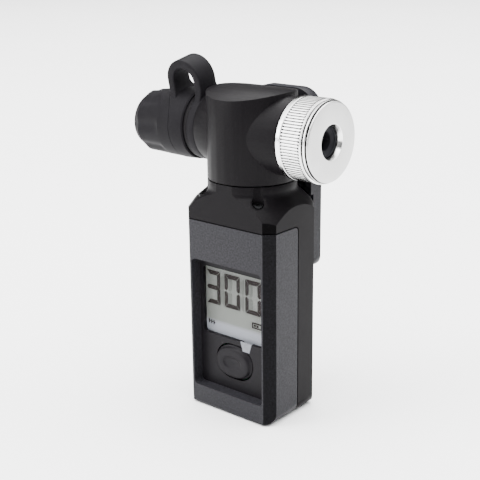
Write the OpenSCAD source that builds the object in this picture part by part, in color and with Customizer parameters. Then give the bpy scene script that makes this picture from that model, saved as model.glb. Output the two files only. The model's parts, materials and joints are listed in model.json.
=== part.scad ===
// Hand-held digital gauge that sits between a pump and a valve.
// Origin: middle of the flat foot, under the axis of the round head.
// +Z up through the body, +X towards the valve chuck, -Y towards the display.

/* [Body] */
// Half of the width of the body, across the display
body_half = 14.9; // [14.5:0.1:15.5]
// Distance from the head axis to the front face
front_y = 11.5; // [11.3:0.1:12]
// Distance from the head axis to the back face
back_y = 9.5; // [9.3:0.1:10]
// Width of the flat bevel on the four upright edges
bevel = 2.5; // [2:0.1:2.8]
// Height of the top edge of the front cover
cover_top = 53.1; // [52:0.1:54]
// Wall thickness of both shells
wall = 1.6; // [1.4:0.1:1.8]

/* [Head] */
// Height of the level axis through chuck, head and inlet
head_z = 76.4; // [75.5:0.1:77]
// Radius of the upright drum of the head
drum_r = 11.8; // [11.6:0.1:11.9]
// Height of the joint between body and head
joint_z = 64.3; // [64:0.1:64.6]
// Height of the highest line of the crowned top
crown_z = 87.35; // [87:0.05:87.5]

/* [Chuck] */
// Radius of the knurled chuck knob
knob_r = 10.6; // [10.4:0.1:10.8]
// Position along X of the back edge of the knob
knob_x = 15.6; // [15.5:0.1:15.8]
// Length of the knob
knob_len = 9.5; // [9.3:0.1:9.7]
// Radius of the mouth that takes the valve
valve_r = 4.0; // [3.9:0.05:4.1]

/* [Inlet] */
// Radius of the threaded inlet stem under the dust cap
stem_r = 3.85; // [3.8:0.05:3.9]
// Length of the dust cap
cap_len = 20.1; // [19.5:0.1:20.5]

/* [Lever] */
// Half of the width of the air release lever
lever_half = 10.7; // [10:0.1:11]
// Height of the lower end of the lever
lever_low = 37.4; // [36:0.1:40]

/* [Hidden] */
$fn = 64;

seam_y = 0.4;
line_gap = 0.36;
shoulder_z = cover_top + line_gap;
foot_r = 3;
toe_r = 1;
foot_flat = 5;
foot_arc = 45;
corner_r = 1.2;
window_half = 11.9;
window_low = 5.8;
window_high = 42.4;
panel_y = -8.2;
panel_t = 1.2;
lcd_half = 10.9;
lcd_low = 20.6;
lcd_high = 39.8;
lcd_y = panel_y + panel_t;
board_y = -4.6;
button_z = 14.2;
button_travel = 0.6;
cell_z = 19;
neck_r = 8;
riser_r = 3;
ceiling_z = 56.6;
boss_r = 10;
boss_x = 15.1;
core_r = 6.6;
core_x0 = -11;
core_x1 = 13;
barrel_r = 7;
knob_x1 = knob_x + knob_len;
barrel_x1 = knob_x + 5.7;
selector_x1 = knob_x1 - 1.9;
selector_len = 3.7;
selector_travel = 5;
ring_x = -12.1;
ring_w = 2.6;
neck_x = -15.9;
cap_x1 = -16.1;
cap_x0 = cap_x1 - cap_len;
grip_x = -20.9;
grip_r = 9.7;
stem_x0 = -30.6;
strap_tilt = 12.4;
release_z = head_z - 2.2;
riser_top = head_z - core_r + 1.9;
relief_r = 13.2;
pivot_y = 13.7;
pivot_z = 83;
lever_y = 12.4;
lever_y1 = 16;
screw_x = 9.15;
screw_y = -9.05;
screw_floor = 59.1;

// ---- shared shapes ----

// A cylinder along X on the level axis of the head
module x_cyl(r, x0, x1) {
    translate([x0, 0, head_z])
        rotate([0, 90, 0])
            cylinder(r = r, h = x1 - x0);
}

// A cylinder along Y
module y_cyl(r, y0, y1, x = 0, z = 0) {
    translate([x, y0, z])
        rotate([-90, 0, 0])
            cylinder(r = r, h = y1 - y0);
}

// A profile of [x, radius] points turned about the level axis of the head
module x_turned(profile) {
    translate([0, 0, head_z])
        rotate([0, 90, 0])
            rotate_extrude()
                polygon([for (p = profile) [p[1], p[0]]]);
}

// A ring of round section about the level axis
module x_ring(x, r, wire) {
    translate([x, 0, head_z])
        rotate([0, 90, 0])
            rotate_extrude()
                translate([r, 0])
                    circle(r = wire, $fn = 24);
}

// A rectangle with round corners, centred on the origin
module round_rect(w, h, r) {
    square([w - 2 * r, h], center = true);
    square([w, h - 2 * r], center = true);
    for (sx = [-1, 1], sy = [-1, 1])
        translate([sx * (w / 2 - r), sy * (h / 2 - r)])
            circle(r = r, $fn = 32);
}

// An ellipse-like oval: a square middle between two half circles
module oval(w, h) {
    square([w - h, h], center = true);
    for (s = [-1, 1])
        translate([s * (w - h) / 2, 0])
            circle(r = h / 2);
}

// A flat plate facing -Y, from y0 to y1, drawn in X and Z
module y_plate(y0, y1) {
    translate([0, y1, 0])
        rotate([90, 0, 0])
            linear_extrude(y1 - y0)
                children();
}

// Outline of the body seen from above, moved inwards by inset
module plan(inset = 0) {
    w = body_half - inset;
    f = front_y - inset;
    b = back_y - inset;
    c = bevel - inset * (2 - sqrt(2));
    polygon([[w - c, -f], [w, c - f], [w, b - c], [w - c, b],
        [c - w, b], [-w, b - c], [-w, c - f], [c - w, -f]]);
}

// The body as a block between two heights
module block(z0, z1, inset = 0) {
    translate([0, 0, z0])
        linear_extrude(z1 - z0)
            plan(inset);
}

// Space above the rounded lower edges, seen from the front and from the side
module above_foot() {
    intersection() {
        rotate([90, 0, 0])
            linear_extrude(60, center = true)
                cradle();
        rotate([90, 0, 90])
            linear_extrude(60, center = true)
                foot_outline(-front_y, back_y, toe_r, foot_r);
    }
}

// Front outline: a short flat foot that curves gently up to rounded corners
module cradle() {
    rise = foot_arc - sqrt(foot_arc ^ 2 - (body_half - foot_r - foot_flat) ^ 2);
    intersection() {
        translate([0, rise * 0.7])
            foot_outline(-body_half, body_half, foot_r, foot_r, 50);
        union() {
            translate([-foot_flat, 0])
                square([2 * foot_flat, 120]);
            for (s = [-1, 1]) {
                translate([s * foot_flat, foot_arc])
                    circle(r = foot_arc, $fn = 180);
                translate([-body_half, foot_arc])
                    square([2 * body_half, 100]);
            }
        }
    }
    translate([-foot_flat, 0])
        square([2 * foot_flat, 20]);
}

// A tall outline with its two lower corners rounded
module foot_outline(a, b, ra, rb, down = 0) {
    translate([a, ra])
        square([b - a - rb, 100]);
    translate([a + ra, rb])
        square([b - a - ra, 100]);
    translate([a + ra, -down])
        square([b - a - ra - rb, 100 + down]);
    translate([a + ra, ra])
        circle(r = ra, $fn = 48);
    translate([b - rb, rb])
        circle(r = rb, $fn = 48);
}

// Turned envelope that bevels the top of the body into the round collar
module shoulder_envelope() {
    rotate_extrude($fn = 128)
        polygon(concat([[0, -1], [22, -1], [22, 49], [17.4, 55.6], [15.2, 58.6]],
            [for (a = [45:-9:0])
                [drum_r + 2 - 2 * cos(a), 62.4 - 2 * sin(a)]],
            [[drum_r, joint_z - 0.18], [0, joint_z - 0.18]]));
}

// A coil spring along +Z from the origin
module coil(r, wire, len, turns, steps = 14, sides = 6) {
    n = turns * steps;
    rings = [for (i = [0:n], s = [0:sides - 1])
        let (a = 360 * i / steps, t = 360 * s / sides,
            z = wire + (len - 2 * wire) * i / n)
        [(r + wire * cos(t)) * cos(a), (r + wire * cos(t)) * sin(a),
            z + wire * sin(t)]];
    sheath = [for (i = [0:n - 1], s = [0:sides - 1])
        let (q = (s + 1) % sides)
        [i * sides + s, (i + 1) * sides + s, (i + 1) * sides + q, i * sides + q]];
    polyhedron(rings, concat(sheath,
        [[for (s = [0:sides - 1]) s]],
        [[for (s = [sides - 1:-1:0]) n * sides + s]]));
}

// A cross-slotted pan head screw along -Z, head down to the origin plane
module pan_screw(head_r, head_h, shank_r, shank_len) {
    difference() {
        union() {
            cylinder(r = head_r, h = head_h);
            translate([0, 0, -shank_len])
                cylinder(r = shank_r, h = shank_len + 0.1);
        }
        for (a = [0, 90])
            rotate([0, 0, a])
                translate([-head_r * 0.6, -0.18, head_h - 0.45])
                    cube([head_r * 1.2, 0.36, 1]);
    }
}

// ---- body shells ----

// The two lower screw bosses, tied to the side walls
module screw_boss(y0, y1) {
    for (sx = [-1, 1]) {
        y_cyl(1.9, y0, y1, sx * 11, 6.5);
        translate([sx * 12.4 - 1.4, y0, 4.6])
            cube([2.8, y1 - y0, 3.8]);
    }
}

// Rounds the cover's upper rear corner; grow widens the round by the line gap
module cover_corner(grow) {
    r = corner_r + grow;
    translate([-30, seam_y - line_gap + grow - r, cover_top + grow - r])
        difference() {
            cube([60, r + 1, r + 1]);
            translate([-1, 0, 0])
                rotate([0, 90, 0])
                    cylinder(r = r, h = 62);
        }
}

// The housing fills the corner that the cover's rounding leaves
module seam_corner() {
    cover_corner(line_gap);
}

module rear_housing() {
    color([0.25, 0.24, 0.26])
        difference() {
            intersection() {
                shoulder_envelope();
                above_foot();
                union() {
                    block(shoulder_z, joint_z);
                    intersection() {
                        block(0, joint_z);
                        union() {
                            translate([-30, seam_y, 0])
                                cube([60, 30, 80]);
                            seam_corner();
                        }
                    }
                }
            }
            difference() {
                block(wall, ceiling_z, wall);
                screw_boss(seam_y, back_y);
            }
            translate([0, 0, 50])
                cylinder(r = neck_r + 0.1, h = 20);
            translate([0, 0, 50])
                cylinder(r = neck_r + 0.95, h = ceiling_z - 50);
            for (sx = [-1, 1]) {
                translate([sx * screw_x, screw_y, screw_floor])
                    cylinder(r = 1.6, h = 10);
                translate([sx * screw_x, screw_y, 50])
                    cylinder(r = 0.9, h = 12);
                y_cyl(0.85, 0, 12, sx * 11, 6.5);
                y_cyl(1.7, back_y - 1.2, 12, sx * 11, 6.5);
            }
            y_cyl(11.05, 0, 12, 0, cell_z);
            y_cyl(12.05, back_y - 1.1, 12, 0, cell_z);
        }
}

module front_cover() {
    color([0.36, 0.36, 0.39])
        difference() {
            intersection() {
                block(0, cover_top);
                above_foot();
                translate([-30, -30, -1])
                    cube([60, 30 + seam_y - line_gap, 80]);
            }
            cover_corner(0);
            difference() {
                block(wall, cover_top - 2.2, wall);
                translate([-30, -30, 0])
                    cube([60, 30 + panel_y, 80]);
                screw_boss(lcd_y + 0.05, 2);
            }
            y_plate(-20, panel_y + 0.01)
                translate([0, (window_low + window_high) / 2])
                    round_rect(2 * window_half, window_high - window_low, 1.2);
            translate([0, 0, 45])
                cylinder(r = neck_r + 1.8, h = 20);
            for (sx = [-1, 1]) {
                translate([sx * screw_x, screw_y, 46])
                    cylinder(r = 0.75, h = 12);
                y_cyl(0.7, -5, 2, sx * 11, 6.5);
            }
        }
}

module display_panel() {
    panel_low = 3.2;
    panel_high = 47;
    color([0.22, 0.21, 0.24])
        y_plate(panel_y, panel_y + panel_t)
            difference() {
                translate([0, (panel_low + panel_high) / 2])
                    round_rect(25.6, panel_high - panel_low, 1.5);
                lcd_outline(0);
                translate([0, button_z])
                    oval(12.8, 10.1);
            }
}

// Outline of the display opening with its small notch, shrunk by gap
module lcd_outline(gap) {
    translate([0, (lcd_low + lcd_high) / 2])
        round_rect(2 * (lcd_half - gap), lcd_high - lcd_low - 2 * gap, 1);
    polygon([[2.1 + gap, lcd_low + 1], [2.75 + gap, 18.95 + gap],
        [5.2 - gap, 18.7 + gap], [5.95 - gap, lcd_low + 1]]);
}

module lcd_window() {
    color([0.85, 0.88, 0.88, 0.4])
        y_plate(panel_y + 0.5, lcd_y - 0.02)
            lcd_outline(0.05);
}

module lcd_glass() {
    color([0.55, 0.56, 0.55])
        y_plate(lcd_y + 0.02, lcd_y + 1.1)
            translate([0, 30.8])
                square([24.4, 21.6], center = true);
}

module lcd_backing() {
    color([0.8, 0.81, 0.83])
        y_plate(lcd_y + 1.15, lcd_y + 1.4)
            translate([0, 30.8])
                square([24.4, 17.6], center = true);
}

module zebra_strips() {
    color("pink")
        for (z = [21, 40.6])
            translate([-11.5, lcd_y + 1.12, z - 0.8])
                cube([23, board_y - lcd_y - 1.14, 1.6]);
}

module circuit_board() {
    color([0.05, 0.35, 0.2])
        y_plate(board_y, board_y + 1)
            difference() {
                translate([0, 26])
                    square([24.6, 44], center = true);
                for (sx = [-1, 1])
                    translate([sx * 12, 4])
                        square([6, 9.4], center = true);
            }
}

module dome_switch() {
    color("gainsboro") {
        y_cyl(2.6, board_y - 0.3, board_y, 0, button_z);
        y_cyl(1.5, board_y - 0.55, board_y - 0.3, 0, button_z);
    }
}

module mode_button() {
    color([0.24, 0.23, 0.26])
        difference() {
            union() {
                y_plate(panel_y - 0.3, lcd_y + 0.1)
                    translate([0, button_z])
                        oval(12.2, 9.5);
                y_plate(panel_y - 0.8, panel_y - 0.2)
                    translate([0, button_z])
                        oval(11, 8.3);
                y_plate(lcd_y + 0.1, lcd_y + 0.7)
                    translate([0, button_z])
                        oval(13.8, 7.4);
                y_cyl(1.2, lcd_y + 0.6, board_y - 0.55 - button_travel - 0.05,
                    0, button_z);
            }
            y_plate(panel_y - 2, panel_y - 0.35)
                translate([0, button_z - 0.2])
                    oval(6.2, 3.4);
        }
}

// ---- electrics ----

module coin_cell() {
    color("silver")
        y_cyl(10, 3.7, 6.9, 0, cell_z);
}

module battery_contacts() {
    color("goldenrod") {
        translate([-3, board_y + 1, cell_z - 1])
            cube([6, 0.3, 2]);
        translate([-1.5, board_y + 1.2, cell_z - 1])
            cube([0.4, 3.7 - board_y - 1.2, 2]);
        translate([10.15, board_y + 1, cell_z - 2])
            cube([0.4, 6.6 - board_y - 1, 4]);
    }
}

module battery_door() {
    color([0.25, 0.24, 0.26])
        difference() {
            union() {
                y_cyl(11.95, back_y - 1.05, back_y, 0, cell_z);
                y_cyl(10.4, 7.0, back_y - 1.0, 0, cell_z);
            }
            translate([-5, back_y - 0.9, cell_z - 0.9])
                cube([10, 2, 1.8]);
        }
}

module battery_door_seal() {
    color("black")
        translate([0, 7.7, cell_z])
            rotate([-90, 0, 0])
                rotate_extrude()
                    translate([10.72, 0])
                        circle(r = 0.31, $fn = 24);
}

module pressure_sensor() {
    color("lightslategray")
        difference() {
            union() {
                translate([0, 0, 42.4])
                    cylinder(r = 3.3, h = 5.6);
                translate([-2.5, board_y + 1, 43])
                    cube([5, 3, 4]);
                translate([0, 0, 47.9])
                    cylinder(r = 1.3, h = 4.4);
            }
            translate([0, 0, 45])
                cylinder(r = 0.5, h = 20);
        }
}

module sensor_seal() {
    color("black")
        translate([0, 0, 51])
            rotate_extrude()
                translate([1.65, 0])
                    circle(r = 0.34, $fn = 24);
}

module riser_tube() {
    color("darkgoldenrod")
        difference() {
            translate([0, 0, 49.6])
                cylinder(r = riser_r, h = riser_top - 49.6);
            translate([0, 0, 40])
                cylinder(r = 0.8, h = 60);
            translate([0, 0, 40])
                cylinder(r = 2.0, h = 12.6);
        }
}

// ---- head ----

module neck_seal() {
    color("black")
        translate([0, 0, 60])
            rotate_extrude()
                translate([neck_r - 0.72, 0])
                    circle(r = 0.8, $fn = 24);
}

module neck_circlip() {
    color("silver")
        translate([0, 0, ceiling_z - 1.05])
            linear_extrude(1)
                difference() {
                    circle(r = neck_r + 0.85);
                    circle(r = neck_r - 0.7);
                    translate([0, 8])
                        square([5, 8], center = true);
                }
}

module shoulder_screws() {
    color("dimgray")
        for (sx = [-1, 1])
            translate([sx * screw_x, screw_y, screw_floor])
                pan_screw(1.3, 1, 0.74, 8);
}

module back_screws() {
    color("dimgray")
        for (sx = [-1, 1])
            translate([sx * 11, back_y - 1.2, 6.5])
                rotate([-90, 0, 0])
                    pan_screw(1.5, 0.9, 0.69, 11);
}

// Everything that is cut out of the head for the brass core and the valves
module head_bores() {
    x_cyl(core_r + 0.02, core_x0 - 0.05, core_x1 + 0.05);
    x_cyl(4.3, neck_x - 1, 0);
    x_cyl(barrel_r + 0.05, core_x1, boss_x + 1);
    y_cyl(1.0, 0, 20, 0, release_z);
    y_cyl(1.95, 0, 7.2, 0, release_z);
    y_cyl(2.4, drum_r - 1.1, 20, 0, release_z);
    translate([0, 0, 40])
        cylinder(r = riser_r + 0.02, h = head_z - 40);
    translate([0, 0, ceiling_z - 1.1])
        neck_groove(neck_r - 0.75, 1.1);
    translate([0, 0, 60])
        rotate_extrude()
            translate([neck_r - 0.72, 0])
                circle(r = 0.86, $fn = 24);
}

module neck_groove(r, h) {
    difference() {
        cylinder(r = neck_r + 2, h = h);
        translate([0, 0, -1])
            cylinder(r = r, h = h + 2);
    }
}

module head_housing() {
    crown_r = 50;
    color([0.2, 0.18, 0.2])
        difference() {
            union() {
                intersection() {
                    translate([0, 0, joint_z + 0.18])
                        cylinder(r = drum_r, h = 30, $fn = 128);
                    translate([-30, 1, crown_z - crown_r])
                        rotate([0, 90, 0])
                            cylinder(r = crown_r, h = 60, $fn = 200);
                }
                x_turned([[0, 0], [0, boss_r], [boss_x - 0.3, boss_r],
                    [boss_x, boss_r - 0.3], [boss_x, 0]]);
                x_turned([[0, 0], [0, 9.3], [ring_x + 0.05, 9.3], [ring_x + 0.05, 7.7],
                    [ring_x - ring_w - 0.05, 7.7], [ring_x - ring_w - 0.05, 9.1],
                    [neck_x, 9.0], [neck_x, 0]]);
                translate([0, 0, 54.6])
                    cylinder(r = neck_r, h = joint_z - 54);
                lever_lug();
            }
            head_bores();
            translate([-6, pivot_y, pivot_z])
                rotate([0, 90, 0])
                    cylinder(r = 0.81, h = 12);
        }
}

// The lug behind the head that carries the lever pin
module lever_lug() {
    translate([-3.6, pivot_y, pivot_z])
        rotate([0, 90, 0])
            cylinder(r = 1.7, h = 7.2);
    translate([-3.6, 8, pivot_z - 1.7])
        cube([7.2, pivot_y - 8, 3.4]);
}

module manifold_core() {
    color("goldenrod")
        difference() {
            x_cyl(core_r, core_x0, core_x1);
            x_cyl(4.3, core_x0 - 1, -6);
            x_cyl(1.5, -8, 10);
            x_cyl(5.02, 7.98, core_x1 + 1);
            translate([0, 0, 60])
                cylinder(r = riser_r + 0.01, h = riser_top + 0.02 - 60);
            translate([0, 0, 60])
                cylinder(r = 0.8, h = head_z - 60);
            y_cyl(1.92, -1.6, 12, 0, release_z);
        }
}

// ---- chuck ----

module chuck_barrel() {
    color("silver")
        difference() {
            x_turned([[8, 1.6], [8, 5], [core_x1 + 0.06, 5], [core_x1 + 0.06, barrel_r],
                [19.5, barrel_r], [19.5, 6.4], [20.5, 6.4], [20.5, barrel_r],
                [barrel_x1, barrel_r], [barrel_x1, valve_r], [11, valve_r],
                [11, 1.6]]);
        }
}

module chuck_knob() {
    groove = knob_x1 - 1.55;
    bead = knob_x1 - 0.55;
    color([0.86, 0.86, 0.87])
        difference() {
            x_turned([[knob_x, barrel_r + 0.05], [knob_x, knob_r - 0.35],
                [knob_x + 0.3, knob_r], [groove - 0.25, knob_r],
                [groove - 0.15, knob_r - 0.55], [groove + 0.15, knob_r - 0.55],
                [groove + 0.25, knob_r - 0.15], [bead - 0.25, knob_r - 0.15],
                [bead, knob_r - 0.6], [bead, knob_r - 1.25],
                [knob_x1 - 0.25, knob_r - 1.1], [knob_x1, knob_r - 1.4],
                [knob_x1, valve_r + 0.5], [knob_x1 - 1.3, valve_r],
                [knob_x1 - 2.2, valve_r], [knob_x1 - 2.2, 5.6],
                [barrel_x1 + 0.1, 5.6], [barrel_x1 + 0.1, barrel_r + 0.05],
                [20.55, barrel_r + 0.05], [20.55, 8.15], [19.45, 8.15],
                [19.45, barrel_r + 0.05]]);
            for (i = [0:59])
                translate([0, 0, head_z])
                    rotate([6 * i, 0, 0])
                        translate([knob_x + 1.5, 0, knob_r])
                            rotate([45, 0, 0])
                                translate([0, -0.2, -0.2])
                                    cube([6.0, 0.4, 0.4]);
        }
}

module knob_circlip() {
    color("dimgray")
        translate([19.55, 0, head_z])
            rotate([0, 90, 0])
                linear_extrude(0.9)
                    difference() {
                        circle(r = 7.85);
                        circle(r = 6.45);
                        translate([0, -8])
                            square([4, 6], center = true);
                    }
}

module chuck_grommet() {
    color([0.1, 0.1, 0.1])
        x_turned([[barrel_x1 + 0.15, valve_r], [barrel_x1 + 0.15, 5.5],
            [knob_x1 - 2.25, 5.5], [knob_x1 - 2.25, valve_r]]);
}

module valve_selector() {
    color([0.16, 0.16, 0.17])
        x_turned([[selector_x1 - selector_len, 2.5],
            [selector_x1 - selector_len, valve_r - 0.07],
            [selector_x1 + 0.3, valve_r - 0.07], [selector_x1 + 0.3, 3.5],
            [selector_x1, 3.4], [selector_x1 - 0.5, 2.5]]);
}

module selector_spring() {
    color("silver")
        translate([11.9, 0, head_z])
            rotate([0, 90, 0])
                coil(3.4, 0.22, selector_x1 - selector_len - 11.95, 3.5);
}

module depressor_pin() {
    color("goldenrod")
        difference() {
            union() {
                x_cyl(valve_r - 0.02, 11.02, 11.85);
                x_turned([[11.5, 0], [11.5, 0.7], [17.6, 0.7], [18, 0.4], [18, 0]]);
            }
            for (a = [0:120:240])
                translate([0, 0, head_z])
                    rotate([a, 0, 0])
                        translate([10, 0, 2])
                            rotate([0, 90, 0])
                                cylinder(r = 0.8, h = 4);
        }
}

// ---- inlet ----

module inlet_stem() {
    pitch = 0.8;
    threads = floor((-19.4 - stem_x0 - 1) / pitch);
    thread = [for (i = [0:threads - 1])
        each [[stem_x0 + 0.7 + pitch * i, stem_r - 0.35],
            [stem_x0 + 0.7 + pitch * (i + 0.5), stem_r]]];
    color("goldenrod")
        difference() {
            x_turned(concat([[stem_x0, 2.2], [stem_x0, 3.3]], thread,
                [[-17.4, stem_r - 0.35], [-17.4, 5.5], [neck_x - 0.02, 5.5],
                [neck_x - 0.02, 4.28], [-6.02, 4.28], [-6.02, 0.8], [-16.2, 0.8],
                [-16.2, 1.4], [-24.2, 1.4], [-24.2, 2.2]]));
        }
}

module valve_core() {
    color("darkgoldenrod")
        x_turned([[stem_x0 + 0.6, 0.8], [stem_x0 + 0.6, 2.18], [-24.3, 2.18],
            [-24.3, 0.8]]);
}

module core_pin() {
    color("silver") {
        x_turned([[stem_x0 + 0.1, 0], [stem_x0 + 0.1, 0.55], [-24, 0.55],
            [-24, 0]]);
        x_turned([[-24.1, 0], [-24.1, 1.25], [-23.4, 1.25], [-23.4, 0]]);
    }
}

module core_spring() {
    color("silver")
        translate([-23.3, 0, head_z])
            rotate([0, 90, 0])
                coil(1.0, 0.18, 7, 7);
}

module strap_ring() {
    color([0.27, 0.26, 0.29])
        x_turned([[ring_x - ring_w, 7.75], [ring_x - ring_w, 9.1],
            [ring_x - ring_w + 0.2, 9.3], [ring_x - 0.2, 9.3], [ring_x, 9.1],
            [ring_x, 7.75]]);
}

module dust_cap() {
    color([0.27, 0.26, 0.29])
        difference() {
            x_turned([[cap_x0, 0], [cap_x0, 6.9], [cap_x0 + 0.4, 7.2],
                [cap_x0 + 3, 8.6], [grip_x, grip_r], [cap_x1 - 0.3, 9.4], [cap_x1, 9.2],
                [cap_x1, 6.6], [-17.4, 6.2], [-19, 5.9], [-19.4, stem_r + 0.2],
                [stem_x0 - 0.6, stem_r + 0.2], [stem_x0 - 0.6, 0]]);
            for (i = [0:7])
                translate([0, 0, head_z])
                    rotate([45 * i + 22.5, 0, 0])
                        translate([cap_x0 - 1, 0, 12.3])
                            rotate([0, 94, 0])
                                cylinder(r = 4, h = 13);
        }
}

// The loop stands over the cap: outer radius 6, 2 thick, 7.5 wide
module cap_strap() {
    loop_x = -18.35;
    loop_h = 12.6;
    loop_r = 5.8;
    strap_t = 2.3;
    strap_w = 6.5;
    color([0.27, 0.26, 0.29])
        difference() {
            translate([0, 0, head_z])
                rotate([strap_tilt, 0, 0]) {
                    translate([0, strap_w / 2, 0])
                        rotate([90, 0, 0])
                            linear_extrude(strap_w)
                                difference() {
                                    union() {
                                        translate([loop_x, loop_h])
                                            circle(r = loop_r);
                                        translate([loop_x - loop_r, 6])
                                            square([2 * loop_r, loop_h - 6]);
                                    }
                                    translate([loop_x, loop_h])
                                        circle(r = loop_r - strap_t);
                                    translate([loop_x - loop_r + strap_t, 5])
                                        square([2 * (loop_r - strap_t), loop_h - 5]);
                                }
                    for (x = [loop_x - loop_r, loop_x + loop_r - strap_t])
                        translate([x, 0, 0])
                            rotate([90, 0, 90])
                                linear_extrude(strap_t)
                                    polygon([[-5.2, 6.9], [5.2, 6.9], [5.2, 7.7],
                                        [3.7, 9.6], [3.25, 11.2], [-3.25, 11.2],
                                        [-3.7, 9.6], [-5.2, 7.7]]);
                }
            cap_clearance();
        }
}

// Everything the strap has to stand clear of: the cap, the neck and the ring
module cap_clearance() {
    x_turned([[-37, 0], [-37, 8.7], [-33, 8.7], [grip_x, grip_r + 0.04],
        [cap_x1 - 0.3, 9.44], [cap_x1 + 0.04, 9.24], [cap_x1 + 0.04, 9.14],
        [neck_x, 9.14], [ring_x - ring_w - 0.04, 9.14],
        [ring_x - ring_w + 0.16, 9.34], [ring_x, 9.34], [ring_x, 0]]);
}

// ---- air release ----

module release_lever() {
    tip_r = 3;
    top_r = 6;
    lever_high = 86.3;
    color([0.36, 0.35, 0.38])
        difference() {
            union() {
                y_plate(lever_y, lever_y1) {
                    translate([-lever_half, lever_low + tip_r])
                        square([2 * lever_half, lever_high - lever_low - tip_r - top_r]);
                    translate([tip_r - lever_half, lever_low])
                        square([2 * (lever_half - tip_r), 10]);
                    translate([top_r - lever_half, lever_high - 10])
                        square([2 * (lever_half - top_r), 10]);
                    for (s = [-1, 1]) {
                        translate([s * (lever_half - tip_r), lever_low + tip_r])
                            circle(r = tip_r);
                        translate([s * (lever_half - top_r), lever_high - top_r])
                            circle(r = top_r);
                    }
                }
                for (s = [-1, 1])
                    translate([s * (lever_half - 0.9) - 0.9, 11.3, 58.5])
                        cube([1.8, 2, 21]);
                }
            translate([0, 0, 58.5])
                cylinder(r = relief_r, h = 21.5);
            translate([-3.9, 8, pivot_z - 2.5])
                cube([7.8, 7.6, 4.8]);
            translate([-9.1, pivot_y, pivot_z])
                rotate([0, 90, 0])
                    cylinder(r = 0.85, h = 18.2);
            for (i = [0:4])
                translate([-7, lever_y1 - 0.4, lever_low + 4 + 2.4 * i])
                    cube([14, 1, 0.9]);
        }
    color([0.36, 0.35, 0.38])
        y_cyl(0.9, drum_r + 0.15, relief_r + 0.5, 0, release_z);
}

module lever_pin() {
    color("silver")
        translate([-9, pivot_y, pivot_z])
            rotate([0, 90, 0])
                cylinder(r = 0.8, h = 18);
}

module release_seat() {
    color("goldenrod")
        difference() {
            y_cyl(1.9, 3.3, 7.1, 0, release_z);
            y_cyl(1.0, 3, 8, 0, release_z);
        }
}

module release_plunger() {
    color("silver") {
        y_cyl(0.95, 2.4, drum_r + 0.05, 0, release_z);
        y_cyl(1.6, 1.8, 2.5, 0, release_z);
    }
}

module plunger_seal() {
    color("black")
        translate([0, 2.88, release_z])
            rotate([-90, 0, 0])
                rotate_extrude()
                    translate([1.3, 0])
                        circle(r = 0.36, $fn = 24);
}

module plunger_spring() {
    color("silver")
        translate([0, -1.5, release_z])
            rotate([-90, 0, 0])
                coil(1.2, 0.2, 3.25, 4);
}

rear_housing();
front_cover();
display_panel();
lcd_window();
lcd_glass();
lcd_backing();
zebra_strips();
circuit_board();
dome_switch();
mode_button();
coin_cell();
battery_contacts();
battery_door();
battery_door_seal();
pressure_sensor();
sensor_seal();
riser_tube();
neck_seal();
neck_circlip();
shoulder_screws();
back_screws();
head_housing();
manifold_core();
chuck_barrel();
chuck_knob();
knob_circlip();
chuck_grommet();
valve_selector();
selector_spring();
depressor_pin();
inlet_stem();
valve_core();
core_pin();
core_spring();
dust_cap();
cap_strap();
strap_ring();
release_lever();
lever_pin();
release_seat();
release_plunger();
plunger_seal();
plunger_spring();
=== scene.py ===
import bpy
import json
import math
from mathutils import Matrix, Vector


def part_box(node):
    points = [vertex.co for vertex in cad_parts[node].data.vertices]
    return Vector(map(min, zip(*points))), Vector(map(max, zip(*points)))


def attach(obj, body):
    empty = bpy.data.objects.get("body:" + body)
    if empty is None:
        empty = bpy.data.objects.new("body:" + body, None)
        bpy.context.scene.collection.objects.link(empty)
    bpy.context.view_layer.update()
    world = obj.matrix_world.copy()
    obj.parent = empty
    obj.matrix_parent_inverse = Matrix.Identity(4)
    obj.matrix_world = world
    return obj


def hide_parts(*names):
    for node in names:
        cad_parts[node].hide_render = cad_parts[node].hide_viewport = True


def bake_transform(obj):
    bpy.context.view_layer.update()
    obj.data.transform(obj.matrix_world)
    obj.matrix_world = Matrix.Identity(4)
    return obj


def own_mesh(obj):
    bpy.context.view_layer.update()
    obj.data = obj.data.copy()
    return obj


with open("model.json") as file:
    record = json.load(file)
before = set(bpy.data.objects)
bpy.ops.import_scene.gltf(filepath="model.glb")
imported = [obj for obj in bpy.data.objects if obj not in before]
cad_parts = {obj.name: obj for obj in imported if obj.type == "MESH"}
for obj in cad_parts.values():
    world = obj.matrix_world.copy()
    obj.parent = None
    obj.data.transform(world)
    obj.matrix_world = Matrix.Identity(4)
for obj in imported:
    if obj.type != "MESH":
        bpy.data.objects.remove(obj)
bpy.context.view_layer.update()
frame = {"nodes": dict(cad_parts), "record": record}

MM = 0.001
NODES = frame["nodes"]
RECORD = frame["record"]


# ---- places read from the frame, in millimetres ----


def span(node, axis):
    """Lowest and highest coordinate of a CAD node along an axis."""
    low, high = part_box(node)
    return low[axis] / MM, high[axis] / MM


KNOB_X0, KNOB_X1 = span("chuck_knob", 0)
KNOB_Z0, KNOB_Z1 = span("chuck_knob", 2)
HEAD_Z = (KNOB_Z0 + KNOB_Z1) / 2
KNOB_R = (KNOB_Z1 - KNOB_Z0) / 2
CAP_X0, CAP_X1 = span("dust_cap", 0)
CAP_R = (span("dust_cap", 2)[1] - span("dust_cap", 2)[0]) / 2
RING_X0, RING_X1 = span("strap_ring", 0)
STRAP_X0, STRAP_X1 = span("cap_strap", 0)
STRAP_TOP = span("cap_strap", 2)[1]
BARREL_R = (span("chuck_barrel", 2)[1] - span("chuck_barrel", 2)[0]) / 2
LENS_Y1 = span("lcd_window", 1)[1]
PANEL_Y0, PANEL_Y1 = span("display_panel", 1)
BUTTON_X1 = span("mode_button", 0)[1]
BUTTON_Y0, BUTTON_Y1 = span("mode_button", 1)
BUTTON_Z0, BUTTON_Z1 = span("mode_button", 2)
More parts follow.
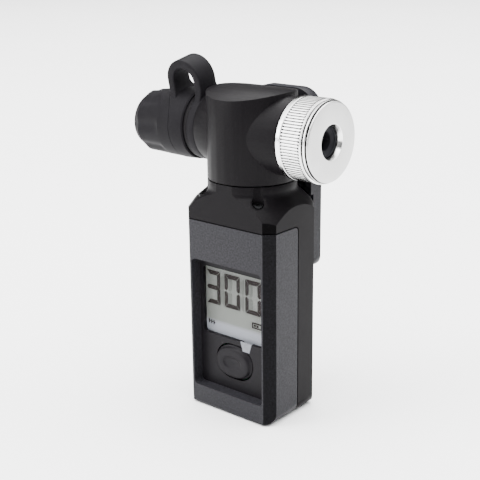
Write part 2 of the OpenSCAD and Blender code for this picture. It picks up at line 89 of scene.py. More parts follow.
BUTTON_Z = (BUTTON_Z0 + BUTTON_Z1) / 2
VALVE_R = 4.0


# ---- camera ----

LENS_MM = 75.6
CAMERA_PLACE = Vector((162.75, -198.25, 127.53)) * MM
CAMERA_AZIMUTH = math.radians(40.16)
CAMERA_PITCH = math.radians(17.47)
CAMERA_ROLL = math.radians(-0.71)


def make_camera():
    data = bpy.data.cameras.new("camera")
    data.lens = LENS_MM
    data.sensor_width = 36
    data.clip_start = 0.01
    data.clip_end = 20
    camera = bpy.data.objects.new("camera", data)
    bpy.context.scene.collection.objects.link(camera)
    turn = Matrix.Rotation(CAMERA_AZIMUTH, 4, "Z")
    tip = Matrix.Rotation(math.pi / 2 - CAMERA_PITCH, 4, "X")
    roll = Matrix.Rotation(CAMERA_ROLL, 4, "Z")
    camera.matrix_world = Matrix.Translation(CAMERA_PLACE) @ turn @ tip @ roll
    bpy.context.scene.camera = camera


# ---- materials ----


class Nodes:
    """A short way to build a node tree round one Principled shader."""

    def __init__(self, name):
        self.material = bpy.data.materials.new(name)
        self.material.use_nodes = True
        self.tree = self.material.node_tree
        self.shader = self.tree.nodes["Principled BSDF"]
        self.place = self.add("ShaderNodeTexCoord").outputs["Object"]

    def add(self, kind, **settings):
        node = self.tree.nodes.new(kind)
        for key, value in settings.items():
            setattr(node, key, value)
        return node

    def link(self, source, target):
        self.tree.links.new(source, target)

    def noise(self, scale, detail=3.0, roughness=0.5, stretch=None):
        node = self.add("ShaderNodeTexNoise")
        node.inputs["Scale"].default_value = scale
        node.inputs["Detail"].default_value = detail
        node.inputs["Roughness"].default_value = roughness
        place = self.place
        if stretch:
            mapping = self.add("ShaderNodeMapping")
            mapping.inputs["Scale"].default_value = stretch
            self.link(place, mapping.inputs["Vector"])
            place = mapping.outputs["Vector"]
        self.link(place, node.inputs["Vector"])
        return node.outputs["Fac"]

    def ramp(self, source, stops):
        node = self.add("ShaderNodeValToRGB")
        ramp = node.color_ramp
        while len(ramp.elements) < len(stops):
            ramp.elements.new(0.5)
        for element, (position, colour) in zip(ramp.elements, stops):
            element.position = position
            element.color = (*colour, 1)
        self.link(source, node.inputs["Fac"])
        return node.outputs["Color"]

    def scaled(self, source, low, high, from_low=0.0, from_high=1.0):
        """Source brought from its own range to low .. high."""
        node = self.add("ShaderNodeMapRange")
        node.inputs["From Min"].default_value = from_low
        node.inputs["From Max"].default_value = from_high
        node.inputs["To Min"].default_value = low
        node.inputs["To Max"].default_value = high
        self.link(source, node.inputs["Value"])
        return node.outputs["Result"]

    def math(self, operation, first, second):
        """A math node on a socket and a second socket or number."""
        node = self.add("ShaderNodeMath", operation=operation)
        self.link(first, node.inputs[0])
        if isinstance(second, (int, float)):
            node.inputs[1].default_value = second
        else:
            self.link(second, node.inputs[1])
        return node.outputs["Value"]

    def split(self, vector, part):
        node = self.add("ShaderNodeSeparateXYZ")
        self.link(vector, node.inputs["Vector"])
        return node.outputs[part]

    def dim(self, share):
        """Multiplies the base colour that is already linked by share."""
        node = self.add("ShaderNodeVectorMath", operation="SCALE")
        self.link(self.shader.inputs["Base Color"].links[0].from_socket, node.inputs[0])
        self.link(share, node.inputs["Scale"])
        self.link(node.outputs["Vector"], self.shader.inputs["Base Color"])

    def bump(self, height, distance, strength):
        node = self.add("ShaderNodeBump")
        node.inputs["Distance"].default_value = distance
        node.inputs["Strength"].default_value = strength
        self.link(height, node.inputs["Height"])
        return node.outputs["Normal"]

    def set(self, **values):
        for key, value in values.items():
            self.shader.inputs[key.replace("_", " ")].default_value = value


def shade(colour, factor):
    return tuple(min(1, c * factor) for c in colour)


# Height where the painted shade on the long upright body chamfers ends.
CHAMFERS_END = 57
SLANTED = (0.7071, 0.7071, 0)


def moulded(name, colour, roughness, grain, depth, contrast, specular=0.5, painted_chamfer_shade=False):
    """Moulded plastic: grain is the size of the spark-eroded texture in millimetres.
    The painted_chamfer_shade option paints shade on the long upright chamfers of the body, dimming
    their colour and specular."""
    n = Nodes(name)
    fine = n.noise(1 / (grain * MM), 3, 0.6)
    broad = n.noise(1 / (9 * MM), 2)
    scuff = n.noise(1 / (1.4 * MM), 5, 0.7)
    n.link(n.ramp(fine, [(0.3, shade(colour, 1 - contrast)), (0.7, shade(colour, 1 + contrast))]),
           n.shader.inputs["Base Color"])
    mixed = n.math("ADD", n.scaled(broad, -0.05, 0.05),
                   n.scaled(scuff, roughness - 0.05, roughness + 0.05))
    n.link(mixed, n.shader.inputs["Roughness"])
    n.link(n.bump(fine, depth * MM, 0.6), n.shader.inputs["Normal"])
    n.set(Specular_IOR_Level=specular)
    if painted_chamfer_shade:
        # Painted shade: faces turned about 45 degrees between front and side, below CHAMFERS_END,
        # get a darker colour and less specular.
        facing = n.add("ShaderNodeNewGeometry").outputs["Normal"]
        folded = n.add("ShaderNodeVectorMath", operation="ABSOLUTE")
        n.link(facing, folded.inputs[0])
        slant = n.add("ShaderNodeVectorMath", operation="DOT_PRODUCT")
        slant.inputs[1].default_value = SLANTED
        n.link(folded.outputs["Vector"], slant.inputs[0])
        share = n.scaled(slant.outputs["Value"], 1.0, 0.3, 0.93, 0.985)
        above = n.math("GREATER_THAN", n.split(n.place, "Z"), CHAMFERS_END * MM)
        unshaded_share = n.math("MAXIMUM", share, above)
        n.dim(unshaded_share)
        n.link(n.math("MULTIPLY", unshaded_share, specular), n.shader.inputs["Specular IOR Level"])
    return n.material


def rubbery(name, colour, roughness):
    n = Nodes(name)
    fine = n.noise(1 / (0.22 * MM), 4, 0.65)
    dust = n.noise(1 / (3.5 * MM), 5, 0.7)
    n.link(n.ramp(dust, [(0.35, shade(colour, 0.85)), (0.75, shade(colour, 1.2))]),
           n.shader.inputs["Base Color"])
    n.link(n.scaled(fine, roughness - 0.06, roughness + 0.06), n.shader.inputs["Roughness"])
    n.link(n.bump(fine, 0.02 * MM, 0.4), n.shader.inputs["Normal"])
    n.set(Specular_IOR_Level=0.05)
    return n.material


def metal(name, colour, roughness, stretch=(1, 1, 1), grain=0.25, depth=0.006, painted_shade_share=1.0):
    """Bare metal, with turning marks where stretch draws the noise out.
    The painted_shade_share argument paints shade by dimming the faces that look straight up or down."""
    n = Nodes(name)
    marks = n.noise(1 / (grain * MM), 3, 0.6, stretch)
    stain = n.noise(1 / (5 * MM), 3)
    n.link(n.ramp(stain, [(0.3, shade(colour, 0.95)), (0.7, shade(colour, 1.03))]),
           n.shader.inputs["Base Color"])
    n.link(n.scaled(marks, roughness - 0.06, roughness + 0.08), n.shader.inputs["Roughness"])
    n.link(n.bump(marks, depth * MM, 0.5), n.shader.inputs["Normal"])
    n.set(Metallic=1.0)
    # Painted shade on the faces that look straight up or down.
    if painted_shade_share < 1:
        normal = n.add("ShaderNodeNewGeometry").outputs["Normal"]
        folded = n.add("ShaderNodeMath", operation="ABSOLUTE")
        n.link(n.split(normal, "Z"), folded.inputs[0])
        n.dim(n.scaled(folded.outputs["Value"], 1.0, painted_shade_share, 0.3, 0.95))
    return n.material


def clear_lens(name):
    n = Nodes(name)
    haze = n.noise(1 / (2.5 * MM), 3)
    n.link(n.scaled(haze, 0.04, 0.1), n.shader.inputs["Roughness"])
    n.set(Base_Color=(0.05, 0.05, 0.05, 1), Alpha=0.05, Specular_IOR_Level=0.4)
    return n.material


# Heights between which the painted reflection at the display's lower edge fades into the grey.
PALE_END, GREY_START = 23.4, 24.6


def display_grey(name):
    """The grey-green of the display, with a painted reflection that makes it paler along its lower
    edge.
    """
    n = Nodes(name)
    height = n.scaled(n.split(n.place, "Z"), 0, 1, PALE_END * MM, GREY_START * MM)
    n.link(n.ramp(height, [(0, (0.205, 0.215, 0.24)), (1, (0.128, 0.135, 0.125))]),
           n.shader.inputs["Base Color"])
    n.link(n.scaled(n.noise(1 / (0.5 * MM)), 0.4, 0.5), n.shader.inputs["Roughness"])
    n.set(Specular_IOR_Level=0.1)
    return n.material


# Flat display colour, used for the printed segments and icons, the painted segment shadow and the
# pale tab.
def segment_ink(name, colour):
    n = Nodes(name)
    n.link(n.ramp(n.noise(1 / (0.8 * MM)), [(0.3, shade(colour, 0.9)), (0.7, shade(colour, 1.1))]),
           n.shader.inputs["Base Color"])
    n.set(Roughness=0.5, Specular_IOR_Level=0.05)
    return n.material


def circuit_green(name):
    n = Nodes(name)
    tracks = n.add("ShaderNodeTexBrick")
    tracks.inputs["Scale"].default_value = 1 / (5 * MM)
    tracks.inputs["Color1"].default_value = (0.01, 0.12, 0.05, 1)
    tracks.inputs["Color2"].default_value = (0.015, 0.15, 0.06, 1)
    tracks.inputs["Mortar"].default_value = (0.03, 0.25, 0.10, 1)
    n.link(n.place, tracks.inputs["Vector"])
    n.link(tracks.outputs["Color"], n.shader.inputs["Base Color"])
    n.set(Roughness=0.35)
    return n.material


SLOT_MATERIALS = {
    # Shell and housing plastic carry the painted shade on the body's upright chamfers (the last
    # argument, True).
    "shell_plastic": moulded("shell_plastic", (0.0135, 0.0132, 0.0156), 0.46, 0.50, 0.03, 0.5, 0.09,
                             True),
    "housing_plastic": moulded("housing_plastic", (0.0036, 0.0031, 0.0037), 0.46, 0.30, 0.006,
                               0.12, 0.05, True),
    "panel_plastic": moulded("panel_plastic", (0.0062, 0.0056, 0.0068), 0.45, 0.30, 0.01, 0.2, 0.08),
    "selector_plastic": moulded("selector_plastic", (0.02, 0.02, 0.023), 0.5, 0.3, 0.01, 0.15, 0.2),
    "foil": moulded("foil", (0.7, 0.71, 0.72), 0.4, 0.5, 0.01, 0.05),
    "zebra_rubber": rubbery("zebra_rubber", (0.75, 0.45, 0.5), 0.6),
    "seal_rubber": rubbery("seal_rubber", (0.008, 0.008, 0.008), 0.55),
    "cap_rubber": rubbery("cap_rubber", (0.0058, 0.0053, 0.0064), 0.58),
    "steel": metal("steel", (0.6, 0.6, 0.61), 0.3),
    "screw_steel": metal("screw_steel", (0.012, 0.012, 0.013), 0.4),
    "brass": metal("brass", (0.75, 0.55, 0.25), 0.28),
    # The knob's aluminium carries painted shade on its faces that look up or down.
    "knob_aluminium": metal("knob_aluminium", (0.93, 0.93, 0.925), 0.20, painted_shade_share=0.12),
    "clear_lens": clear_lens("clear_lens"),
    "lcd": display_grey("lcd"),
    "board": circuit_green("board"),
}
INK = segment_ink("segment_ink", (0.013, 0.010, 0.010))
# Painted shadow of the segments on the display's reflector.
SEGMENT_SHADOW = segment_ink("painted_segment_shadow", (0.082, 0.087, 0.08))
PALE_STRIP = segment_ink("pale_strip", (0.15, 0.155, 0.17))
BLASTED = metal("blasted_aluminium", (0.56, 0.56, 0.555), 0.42, grain=0.12, depth=0.01)
# Painted shade: a near-black metal for the bottoms of the knurl's flutes and ring grooves.
GROOVE_SHADE = metal("knurl_groove_shade", (0.045, 0.045, 0.045), 0.5)
LEVER = moulded("lever_plastic", (0.0105, 0.0102, 0.0122), 0.46, 0.50, 0.03, 0.5, 0.08)
# Painted highlight: a lighter, glossier material for the bevelled edges of the front cover.
EDGE_HIGHLIGHT = moulded("cover_edge_highlight", (0.036, 0.035, 0.04), 0.35, 0.50, 0.01, 0.2, 0.25)
SLEEVE = rubbery("sleeve_rubber", (0.011, 0.011, 0.013), 0.5)


def paint(piece, material):
    piece.data.materials.clear()
    piece.data.materials.append(material)


# ---- mesh helpers ----


def make_piece(name, points, faces, body, slot, *replaced, material=None, sharp=35):
    """A finished piece from points in millimetres, riding on a body and standing for CAD nodes."""
    mesh = bpy.data.meshes.new(name)
    mesh.from_pydata([Vector(p) * MM for p in points], [], faces)
    mesh.validate()
    mesh.update()
    piece = bpy.data.objects.new(name, mesh)
    bpy.context.scene.collection.objects.link(piece)
    mesh.shade_smooth()
    mesh.set_sharp_from_angle(angle=math.radians(sharp))
    paint(piece, material or SLOT_MATERIALS[slot])
    if body:
        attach(piece, body)
    if replaced:
        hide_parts(*replaced)
    return piece


def fillets(corners, steps=4):
    """A polyline whose corners (u, v, radius) are rounded with arcs."""
    found = []
    count = len(corners)
    for i, (u, v, radius) in enumerate(corners):
        here = Vector((u, v))
        if radius <= 0 or i in (0, count - 1):
            found.append((u, v))
            continue
        before = (Vector(corners[i - 1][:2]) - here).normalized()
        after = (Vector(corners[i + 1][:2]) - here).normalized()
        turn = before.angle(after)
        reach = radius / math.tan(turn / 2)
        middle = here + (before + after).normalized() * radius / math.sin(turn / 2)
        start = here + before * reach - middle
        end = here + after * reach - middle
        swing = start.angle_signed(end)
        for k in range(steps + 1):
            spoke = Vector(start)
            spoke.rotate(Matrix.Rotation(-swing * k / steps, 2))
            found.append(tuple(middle + spoke))
    return found


def turned(profile, steps, shape=None, closed=False):
    """Points and faces of a profile of (x, radius) turned about the level axis of the head.
    shape(x, radius, angle) may change the radius; a radius of 0 makes a pole."""
    points, faces, rings = [], [], []
    for x, radius in profile:
        if radius == 0:
            rings.append([len(points)] * steps)
            points.append((x, 0, HEAD_Z))
            continue
        ring = []
        for k in range(steps):
            angle = 2 * math.pi * k / steps
            r = shape(x, radius, angle) if shape else radius
            ring.append(len(points))
            points.append((x, r * math.cos(angle), HEAD_Z + r * math.sin(angle)))
        rings.append(ring)
    pairs = list(zip(rings, rings[1:]))
    if closed:
        pairs.append((rings[-1], rings[0]))
    for a, b in pairs:
        for k in range(steps):
            m = (k + 1) % steps
            corners = [a[k], a[m], b[m], b[k]]
            if a[k] == a[m]:
                corners = [a[k], b[m], b[k]]
            elif b[k] == b[m]:
                corners = [a[k], a[m], b[k]]
            faces.append(corners)
    return points, faces


def crisp(piece, width, angle=30, segments=2):
    """Rounds the sharp edges of a CAD node or piece by width millimetres."""
    weld = piece.modifiers.new("weld", "WELD")
    weld.merge_threshold = 0.002 * MM
    bevel = piece.modifiers.new("edges", "BEVEL")
    bevel.width = width * MM
    bevel.segments = segments
    bevel.limit_method = "ANGLE"
    bevel.angle_limit = math.radians(angle)
    bevel.harden_normals = True
    bevel.use_clamp_overlap = True


# ---- pieces ----

FLUTES = 84
FLUTE_STEPS = 6
FLUTE_DEPTH = 0.19


def make_knob():
    x0, x1, r = KNOB_X0, KNOB_X1, KNOB_R
    flute_from, flute_to = x0 + 1.55, x1 - 2.3
    runs = 12
    outside = [(x0, BARREL_R + 0.1, 0), (x0, r - 0.25, 0.1), (x0 + 0.25, r, 0.12),
               (flute_from - 0.25, r, 0.06), (flute_from - 0.1, r - 0.14, 0)]
    flutes = [(flute_from + (flute_to - flute_from) * i / runs, r, 0) for i in range(runs + 1)]
    front = [(flute_to + 0.1, r - 0.14, 0), (flute_to + 0.2, r, 0.06),
             (flute_to + 0.42, r, 0.08), (flute_to + 0.55, r - 0.45, 0.05),
             (flute_to + 0.9, r - 0.45, 0.05), (flute_to + 1.0, r - 0.2, 0.1),
             (x1 - 0.86, r - 0.22, 0.14), (x1 - 0.78, r - 0.85, 0.04),
             (x1 - 0.48, r - 0.85, 0.04), (x1 - 0.46, r - 0.5, 0.12),
             (x1, r - 0.62, 0.42), (x1, VALVE_R + 0.5, 0.12),
             (x1 - 1.1, VALVE_R + 0.02, 0.25), (x1 - 2.2, VALVE_R + 0.02, 0.05),
             (x1 - 2.2, 5.6, 0), (x0 + 5.8, 5.6, 0), (x0 + 5.8, BARREL_R + 0.1, 0)]
    profile = fillets(outside + flutes + front)

    def knurl(x, radius, angle):
        if radius < r - 0.01 or not flute_from - 0.001 < x < flute_to + 0.001:
            return radius
        along = min(x - flute_from, flute_to - x)
        fade = 0.35 + 0.65 * min(1, along / 0.5)
        wave = abs(math.sin(angle * FLUTES / 2))
        return radius - 0.02 - FLUTE_DEPTH * fade * (1 - wave) ** 1.3

    points, faces = turned(profile, FLUTES * FLUTE_STEPS, knurl, closed=True)
    knob = make_piece("knurled_knob", points, faces, "knob", "knob_aluminium", "chuck_knob",
                      sharp=28)
    knob.data.materials.append(BLASTED)
    knob.data.materials.append(GROOVE_SHADE)
    for face in knob.data.polygons:
        centre = face.center / MM
        across = math.hypot(centre.y, centre.z - HEAD_Z)
        if centre.x > x1 - 0.3 and across > VALVE_R + 0.6:
            face.material_index = 1
        along = min(centre.x - flute_from, flute_to - centre.x)
        # Faces deep in the flutes and the ring grooves take the painted groove shade (slot 2).
        fluted = along > 0 and across < r - (0.045 if along < 0.4 else 0.11)
        ringed = flute_to + 0.5 < centre.x < x1 - 0.465 and r - 1 < across and (
            across < r - 0.3 and centre.x < flute_to + 1 or across < r - 0.55)
        if fluted or ringed:
            face.material_index = 2


CAP_FLUTES = 8
DROOP = math.tan(math.radians(3.6))
STRAP_TILT = math.radians(12.4)
STRAP_HALF_W = 3.2
STRAP_THICK = 2.3


def sweep_up(angle):
    """How far the seam of the cap swings out under the strap's leg, by angle round the head."""
    away = math.degrees(abs((angle - math.pi / 2 - STRAP_TILT + math.pi) % (2 * math.pi) - math.pi))
    return 3.4 * max(0, min(1, (70 - away) / 52)) ** 2


def make_cap():
    x0, x1, r = CAP_X0, CAP_X1, CAP_R
    seam = x1 - 4.75
    bore = 4.15
    flute_end = seam - 4.4
    corners = [(x1, 6.7, 0), (x1, r - 0.55, 0.15), (x1 - 0.3, r - 0.2, 0.2),
               (seam + 0.16, r - 0.02, 0.06), (seam + 0.05, r - 0.22, 0),
               (seam - 0.05, r - 0.22, 0), (seam - 0.16, r - 0.12, 0.06), (flute_end, r - 0.42, 0.5)]
    corners += [(flute_end - 0.5 * i, r - 0.42 - 0.045 * i, 0) for i in range(1, 14)]
    corners += [(x0 + 2.7, r - 1.1, 0.4), (x0, 7.0, 0.5), (x0, 4.5, 0), (x0, 0, 0)]
    outer = fillets(corners, 6)
    inner = [(x0 + 4.4, 0), (x0 + 4.4, bore), (x1 - 3.3, bore), (x1 - 2.9, 5.95),
             (x1 - 1.3, 6.2)]

    def flute(x, radius, angle):
        if x > flute_end or radius < 6.2:
            return radius
        lift = min(1, (flute_end - x) / 2.0) * min(1, max(0, (x - x0 - 0.2) / 2.2))
        wave = 0.5 + 0.5 * math.cos(CAP_FLUTES * angle)
        return radius - 0.5 * math.sin(lift * math.pi / 2) * wave ** 2

    steps = 192
    points, faces = turned(outer + inner, steps, flute)
    shaped = []
    for x, y, z in points:
        across = math.hypot(y, z - HEAD_Z)
        if across > 6.9 and x > seam - 9:
            share = (x - seam + 9) / 9 if x < seam else (x1 - x) / (x1 - seam)
            x -= sweep_up(math.atan2(z - HEAD_Z, y)) * max(0, share)
        own = across > 4.3 or x < x0 + 0.5
        shaped.append((x, y, z + (min(0, x - seam) * DROOP if own else 0)))
    last = len(points)
    for k in range(steps):
        m = (k + 1) % steps
        faces.append([last - steps + k, last - steps + m, m, k])
    make_piece("rubber_cap", shaped, faces, "cap", "cap_rubber", "dust_cap", sharp=32)


def make_strap():
    """The loop between cap and neck ring: a flat band that widens where its feet meet them."""
    middle_x = (STRAP_X0 + STRAP_X1) / 2
    outer_r = (STRAP_X1 - STRAP_X0) / 2
    reach = outer_r - STRAP_THICK / 2
    lean = math.sin(STRAP_TILT)
    centre_h = (STRAP_TOP - HEAD_Z - 3.25 * lean) / math.cos(STRAP_TILT) - outer_r
    low, rise = 7.3, 16
    path = []
    for k in range(rise):
        h = low + (centre_h - low) * k / rise
        path.append((-1, h))
    arc = [(math.pi - math.pi * k / 40) for k in range(41)]
    loop = [(middle_x + reach * math.cos(t), centre_h + reach * math.sin(t)) for t in arc]
    spots = [foot(middle_x, reach, -1, h) for _, h in path]
    spots += [(x, h, STRAP_HALF_W, STRAP_THICK / 2) for x, h in loop]
    spots += [foot(middle_x, reach, 1, h) for _, h in reversed(path)]
    points, faces = [], []
    for i, (x, h, half_w, half_t) in enumerate(spots):
        ahead = Vector(spots[min(i + 1, len(spots) - 1)][:2])
        behind = Vector(spots[max(i - 1, 0)][:2])
        along = (ahead - behind).normalized()
        out = Vector((-along.y, along.x))
        section = fillets([(0, half_t, 0), (half_w, half_t, 0.4), (half_w, -half_t, 0.4),
                           (-half_w, -half_t, 0.4), (-half_w, half_t, 0.4), (0, half_t, 0)], 4)[:-1]
        for across, thick in section:
            spot = Vector((x, h)) + out * thick
            y = across * math.cos(STRAP_TILT) - spot.y * lean
            z = across * lean + spot.y * math.cos(STRAP_TILT)
            points.append((spot.x, y, HEAD_Z + z))
    n = len(section)
    for i in range(len(spots) - 1):
        for k in range(n):
            m = (k + 1) % n
            faces.append([i * n + k, i * n + m, (i + 1) * n + m, (i + 1) * n + k])
    faces.append(list(range(n))[::-1])
    faces.append([(len(spots) - 1) * n + k for k in range(n)])
    strap = make_piece("strap_loop", points, faces, None, "cap_rubber", "cap_strap", sharp=40)
    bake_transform(strap)


def foot(middle_x, reach, side, h):
    """Place, half width and half thickness of a leg of the strap at height h over the axis."""
    flare = max(0, min(1, (11.4 - h) / 3.7)) ** 2
    shift = (1.5 if side < 0 else 0.3) * flare
    return (middle_x + side * reach + shift, h, STRAP_HALF_W + 1.85 * flare,
            STRAP_THICK / 2 - 0.12 * flare)


def make_ring():
    x0, x1 = RING_X0, RING_X1
    r = (span("strap_ring", 2)[1] - span("strap_ring", 2)[0]) / 2
    profile = fillets([(x0, 7.8, 0), (x0, r, 0.35), (x1, r, 0.3), (x1, 7.8, 0)])
    points, faces = turned(profile, 128, closed=True)
    make_piece("neck_ring", points, faces, "gauge_body", "cap_rubber", "strap_ring")


def oval_point(half_w, half_h, angle):
    """A point of an oval that is a little squarer than an ellipse."""
    c, s = math.cos(angle), math.sin(angle)
    power = 0.92
    return (half_w * math.copysign(abs(c) ** power, c), half_h * math.copysign(abs(s) ** power, s))


def make_button():
    """A flat oval with an almond dimple, on a wider flange behind the panel."""
    steps = 96
    face = BUTTON_Y0
    rings = [(0, 0, 0.42), (1.2, 0.6, 0.42), (2.3, 1.2, 0.38), (2.85, 1.55, 0.30),
             (3.08, 1.76, 0.16), (3.25, 1.92, 0.06), (3.5, 2.15, 0.04), (4.5, 3.2, 0),
             (5.1, 3.75, 0.02), (5.4, 4.0, 0.08), (5.58, 4.14, 0.2), (5.68, 4.22, 0.4),
             (5.74, 4.3, 0.72), (5.9, 4.6, 0.8), (6.05, 4.73, 0.9), (6.1, 4.75, 1.1)]
    points, faces, found = [], [], []
    rings = [(w, h, face + depth) for w, h, depth in rings]
    rings += [(6.1, 4.75, PANEL_Y1 + 0.05), (BUTTON_X1, 3.7, PANEL_Y1 + 0.05),
              (BUTTON_X1, 3.7, PANEL_Y1 + 0.65), (1.2, 1.2, PANEL_Y1 + 0.65), (1.2, 1.2, BUTTON_Y1)]
    for w, h, y in rings:
        if w == 0:
            found.append([0] * steps)
            points.append((-0.4, y, BUTTON_Z - 0.25))
            continue
        ring = []
        for k in range(steps):
            dx, dz = oval_point(w, h, 2 * math.pi * k / steps)
            ring.append(len(points))
            lean = max(0, min(1, (PANEL_Y0 - y) / 0.5))
            points.append((dx - 0.4 * lean, y, BUTTON_Z - 0.25 * lean + dz))
        found.append(ring)
    for a, b in zip(found, found[1:]):
        for k in range(steps):
            m = (k + 1) % steps
            faces.append([a[k], b[m], b[k]] if a[k] == a[m] else [a[k], a[m], b[m], b[k]])
    faces.append(found[-1])
    make_piece("oval_button", points, faces, "button", "panel_plastic", "mode_button", sharp=32)


def make_spring(node):
    """A copy of a CAD spring, riding on the gauge body in place of the node."""
    spring = bpy.data.objects.new(node + "_wire", NODES[node].data.copy())
    bpy.context.scene.collection.objects.link(spring)
    spring.matrix_world = NODES[node].matrix_world
    paint(spring, SLOT_MATERIALS["steel"])
    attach(spring, "gauge_body")
    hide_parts(node)
    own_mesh(spring)


LIP_GAP = 0.36
LIP_OUTER, LIP_INNER = 0.5, 1.4
LIP_REACH = 0.3
LIP_LOW = 2.2
BODY_CHAMFER = 2.54


def make_seam_lips():
    """The tongue inside the walls that closes the open seams between the two shells."""
    half = span("front_cover", 0)[1]
    front, seam = span("front_cover", 1)
    top = span("front_cover", 2)[1]
    end = seam + LIP_GAP + LIP_REACH
    points, faces = [], []

    def inset(depth):
        """The body's outline in plan, moved inwards by depth."""
        corner = depth * math.tan(math.radians(22.5))
        side, chamfer = half - depth, front + BODY_CHAMFER + corner
        turn = half - BODY_CHAMFER - corner
        return [(side, end), (side, chamfer), (turn, front + depth), (-turn, front + depth),
                (-side, chamfer), (-side, end)]

    def block(quad, low, high):
        first = len(points)
        points.extend([(x, y, low) for x, y in quad] + [(x, y, high) for x, y in quad])
        faces.append([first, first + 1, first + 2, first + 3])
        faces.append([first + 7, first + 6, first + 5, first + 4])
        for k in range(4):
            m = (k + 1) % 4
            faces.append([first + k, first + 4 + k, first + 4 + m, first + m])

    far, near = inset(LIP_INNER), inset(LIP_OUTER)
    for k in range(5):
        block([far[k], near[k], near[k + 1], far[k + 1]], top - LIP_REACH,
              top + LIP_GAP + LIP_REACH)
    for side in (-1, 1):
        x0, x1 = sorted((side * (half - LIP_INNER), side * (half - LIP_OUTER)))
        block([(x0, seam - LIP_REACH), (x1, seam - LIP_REACH), (x1, end), (x0, end)], LIP_LOW, top)
    make_piece("seam_lips", points, faces, "gauge_body", "housing_plastic")


# ---- display ----

DIGIT_LOW, DIGIT_HIGH = 28.85, 38.4
DIGIT_W = 5.3
BAR = 1.25
NARROW_DIGIT_W = 4.8
DIGIT_STARTS = (-10.5, -4.15, 3.0)
SHADOW_X, SHADOW_Z = 1.35, -0.15
SEGMENTS = {"3": "abcdg", "0": "abcdef"}


def bar_outline(kind, x, low, high, width):
    """Outline of one of the seven bars of a digit, in X and Z."""
    middle = (low + high) / 2
    right = x + width
    gap = 0.13
    tall, slim = BAR, BAR * 0.5
    if kind == "a":
        return [(x + gap, high), (right - gap, high), (right - tall, high - tall),
                (x + tall, high - tall)]
    if kind == "d":
        return [(x + gap, low), (x + tall, low + tall), (right - tall, low + tall),
                (right - gap, low)]
    if kind == "g":
        return [(x + gap, middle), (x + slim, middle + slim), (right - slim, middle + slim),
                (right - gap, middle), (right - slim, middle - slim), (x + slim, middle - slim)]
    upper = kind in "bf"
    a, b = (middle + gap, high - gap) if upper else (low + gap, middle - gap)
    near, far = (x, x + tall * 0.92) if kind in "ef" else (right, right - tall * 0.92)
    slope = tall * 0.92
    if upper:
        return [(near, a + slim * 0.4), (near, b), (far, b - slope), (far, a + slim * 0.9),
                ((near + far) / 2, a)]
    return [(near, a), (near, b - slim * 0.4), ((near + far) / 2, b), (far, b - slim * 0.9),
            (far, a + slope)]


def plates(name, outlines, y0, y1, material):
    """Thin flat plates facing the viewer of the display, joined in one piece."""
    points, faces = [], []
    for outline in outlines:
        n = len(outline)
        first = len(points)
        points += [(x, y0, z) for x, z in outline]
        points += [(x, y1, z) for x, z in outline]
        faces.append([first + k for k in range(n)])
        faces.append([first + n + k for k in range(n)][::-1])
        for k in range(n):
            m = (k + 1) % n
            faces.append([first + k, first + n + k, first + n + m, first + m])
    make_piece(name, points, faces, "gauge_body", "lcd", material=material)


def rectangle(x0, z0, x1, z1):
    return [(x0, z0), (x1, z0), (x1, z1), (x0, z1)]


def make_digits():
    """The number, its soft shadow on the reflector behind, and the marks along the lower edge."""
    lit = []
    for start, digit in zip(DIGIT_STARTS, "300"):
        width = DIGIT_W if digit == "0" else NARROW_DIGIT_W
        for kind in SEGMENTS[digit]:
            lit.append(bar_outline(kind, start, DIGIT_LOW, DIGIT_HIGH, width))
    back = LENS_Y1
    plates("digit_bars", lit, back - 0.09, back - 0.06, INK)
    # Painted shadow: copies of the upright bars, shifted by SHADOW_X and SHADOW_Z.
    shadow = [[(x + SHADOW_X, z + SHADOW_Z) for x, z in outline] for outline in lit
              if abs(outline[0][0] - outline[1][0]) < 0.5]
    plates("digit_shadows", shadow, back - 0.05, back - 0.03, SEGMENT_SHADOW)
    battery = [rectangle(5.2, 25.1, 8.6, 25.45), rectangle(5.2, 26.45, 8.6, 26.8),
               rectangle(5.2, 25.45, 5.55, 26.45), rectangle(8.25, 25.45, 8.6, 26.45),
               rectangle(5.85, 25.65, 6.5, 26.25), rectangle(6.75, 25.65, 7.4, 26.25)]
    arrows = [rectangle(-10.1 + 0.85 * i, 22.95 - 0.1 * i, -9.7 + 0.85 * i, 24.2 - 0.1 * i)
              for i in range(3)]
    arrows += [rectangle(-10.1 + 0.85 * i, 23.45 - 0.1 * i, -9.35 + 0.85 * i, 23.7 - 0.1 * i)
               for i in range(3)]
    plates("display_icons", battery + arrows, back - 0.09, back - 0.06, INK)
    tab = [(2.12, 20.75), (5.94, 20.75), (5.17, 18.1), (2.88, 18.1)]
    plates("display_tab", [tab], PANEL_Y0 - 0.05, PANEL_Y0 + 0.3, PALE_STRIP)


# ---- stage ----


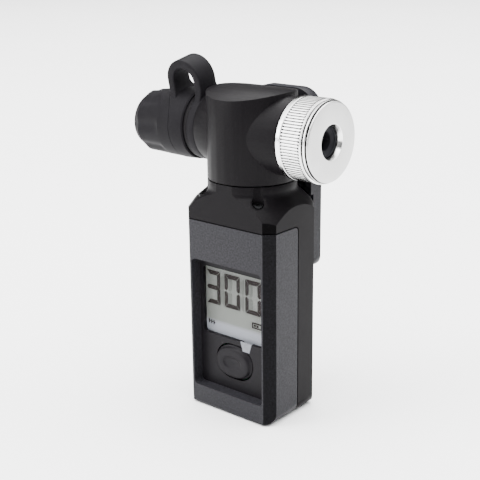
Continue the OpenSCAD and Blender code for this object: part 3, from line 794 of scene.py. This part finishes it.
def make_stage():
    bpy.ops.mesh.primitive_plane_add(size=8, location=(0, 0, 0))
    floor = bpy.context.object
    floor.name = "floor"
    n = Nodes("floor")
    n.link(n.ramp(n.noise(6, 2), [(0.3, (0.86, 0.86, 0.86)), (0.7, (0.88, 0.88, 0.88))]),
           n.shader.inputs["Base Color"])
    n.set(Roughness=0.8, Specular_IOR_Level=0.1)
    floor.data.materials.append(n.material)


def softbox(name, azimuth, elevation, distance, size, power):
    """A square light aimed at the middle of the object. Azimuth 0 is in front, 90 to the right."""
    data = bpy.data.lights.new(name, "AREA")
    data.shape = "RECTANGLE"
    data.size, data.size_y = size
    data.energy = power
    lamp = bpy.data.objects.new(name, data)
    bpy.context.scene.collection.objects.link(lamp)
    a, e = math.radians(azimuth), math.radians(elevation)
    target = Vector((0, 0, 0.045))
    away = Vector((math.sin(a) * math.cos(e), -math.cos(a) * math.cos(e), math.sin(e)))
    lamp.location = target + away * distance
    lamp.rotation_euler = away.to_track_quat("Z", "Y").to_euler()


def make_lights():
    softbox("left_box", -42, 24, 0.8, (0.5, 0.5), 8)
    softbox("right_box", 130, 24, 0.8, (0.5, 0.5), 3)
    softbox("ceiling", 0, 90, 1.9, (3.6, 3.6), 420)
    world = bpy.data.worlds.new("studio")
    bpy.context.scene.world = world
    world.use_nodes = True
    background = world.node_tree.nodes["Background"]
    background.inputs["Color"].default_value = (1, 1, 1, 1)
    background.inputs["Strength"].default_value = 0.15


# ---- build ----

BEVELS = {"rear_housing": 0.2, "front_cover": 0.22, "head_housing": 0.2, "release_lever": 0.3,
          "display_panel": 0.12, "battery_door": 0.15, "shoulder_screws": 0.12,
          "back_screws": 0.12, "lcd_window": 0.1, "strap_ring": 0.1}

make_camera()
for entry in RECORD["subparts"]:
    node = NODES[entry["node"]]
    node.data.materials.clear()
    node.data.materials.append(SLOT_MATERIALS[entry["material_slot"]])
for name, width in BEVELS.items():
    crisp(NODES[name], width)
# The cover's bevel faces take the painted edge highlight.
NODES["front_cover"].data.materials.append(EDGE_HIGHLIGHT)
NODES["front_cover"].modifiers["edges"].material = 1
for name, material in (("release_lever", LEVER), ("valve_selector", SLEEVE)):
    NODES[name].data.materials.clear()
    NODES[name].data.materials.append(material)

make_knob()
make_cap()
make_strap()
make_ring()
make_button()
make_digits()
make_spring("selector_spring")
make_spring("core_spring")
make_spring("plunger_spring")
make_seam_lips()
make_stage()
make_lights()
